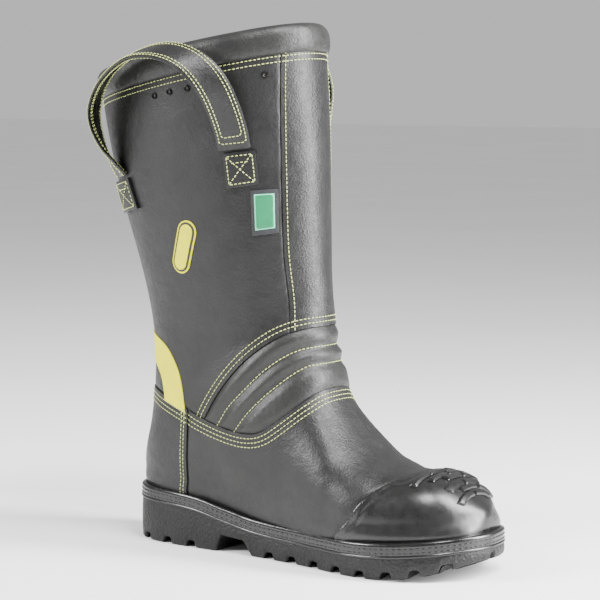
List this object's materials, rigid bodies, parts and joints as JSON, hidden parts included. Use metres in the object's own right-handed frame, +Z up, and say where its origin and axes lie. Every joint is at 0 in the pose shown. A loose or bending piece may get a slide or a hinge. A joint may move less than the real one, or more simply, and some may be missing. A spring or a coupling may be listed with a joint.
{
  "type": "fire boot",
  "caption": "Tall pull-on leather fire boot with a padded instep, rubber toe cap, cleated rubber sole, padded collar and two pull loops.",
  "frame": {"origin": "on the ground under the middle of the boot's footprint", "axes": "+X from heel to toe, +Y to the wearer's inner (medial) side, +Z up the shaft"},
  "size_m": [0.35, 0.1994, 0.4037],
  "materials": {
    "black_leather": "fine grain, satin, oiled",
    "soft_leather": "soft padded leather, satin",
    "toe_rubber": "moulded, semi gloss",
    "sole_rubber": "moulded nitrile rubber, pebbled and semi gloss",
    "polyurethane_foam": "cellular polyurethane, matt",
    "hardened_steel": "plain steel strip",
    "composite_cap": "fibre reinforced composite",
    "aramid_plate": "bonded aramid board",
    "thermoplastic_counter": "heat formed thermoplastic sheet",
    "aramid_felt": "needled aramid felt",
    "padding_foam": "open cell foam",
    "lining_fabric": "knitted lining laminated to a membrane",
    "collar_leather": "soft grained leather, satin",
    "footbed_fabric": "felt top on moulded foam",
    "reflective_yellow": "fluorescent yellow retroreflective tape",
    "badge_yellow": "moulded soft plastic",
    "tag_black": "woven label tape",
    "tag_green": "printed mark",
    "eyelet_metal": "blackened brass"
  },
  "bodies": {
    "foot": {"outsole": "sole_rubber", "midsole": "polyurethane_foam", "shank": "hardened_steel", "puncture_plate": "aramid_plate", "footbed": "footbed_fabric", "safety_toe_cap": "composite_cap", "toe_cap_cover": "toe_rubber", "vamp": "black_leather", "heel_counter_cover": "black_leather", "heel_stiffener": "thermoplastic_counter", "foot_insulation": "aramid_felt"},
    "shaft": {"instep_flex_panel": "soft_leather", "instep_foam": "padding_foam", "membrane_bootie": "lining_fabric", "shaft_panel_lateral": "black_leather", "shaft_panel_medial": "black_leather", "shaft_front_panel": "black_leather", "shaft_insulation": "aramid_felt", "shin_pad": "padding_foam", "collar_cover": "collar_leather", "collar_foam": "padding_foam", "loop_patch_lateral_front": "black_leather", "loop_patch_lateral_rear": "black_leather", "loop_patch_medial_front": "black_leather", "loop_patch_medial_rear": "black_leather", "tag": "tag_black", "tag_mark": "tag_green", "heel_reflector": "reflective_yellow", "emblem": "badge_yellow", "vent_eyelets": "eyelet_metal"},
    "lateral_loop": {"lateral_loop": "black_leather"},
    "medial_loop": {"medial_loop": "black_leather"}
  },
  "joints": [
    {"name": "ankle_flex", "type": "hinge", "parent": "foot", "child": "shaft", "pos_m": [-0.0275, 0, 0.12], "axis": [0, 1, 0], "range_deg": [0, 18], "stiffness_Nm_per_rad": 12, "deforming": ["instep_flex_panel", "instep_foam", "membrane_bootie"]},
    {"name": "lateral_loop_fold", "type": "hinge", "parent": "shaft", "child": "lateral_loop", "pos_m": [-0.13467, -0.05298, 0.2854], "axis": [0.9771, -0.0703, 0.2008], "range_deg": [0, 70], "stiffness_Nm_per_rad": 0.25},
    {"name": "medial_loop_fold", "type": "hinge", "parent": "shaft", "child": "medial_loop", "pos_m": [-0.13467, 0.05298, 0.2854], "axis": [-0.9771, -0.0703, -0.2008], "range_deg": [0, 70], "stiffness_Nm_per_rad": 0.25}
  ]
}
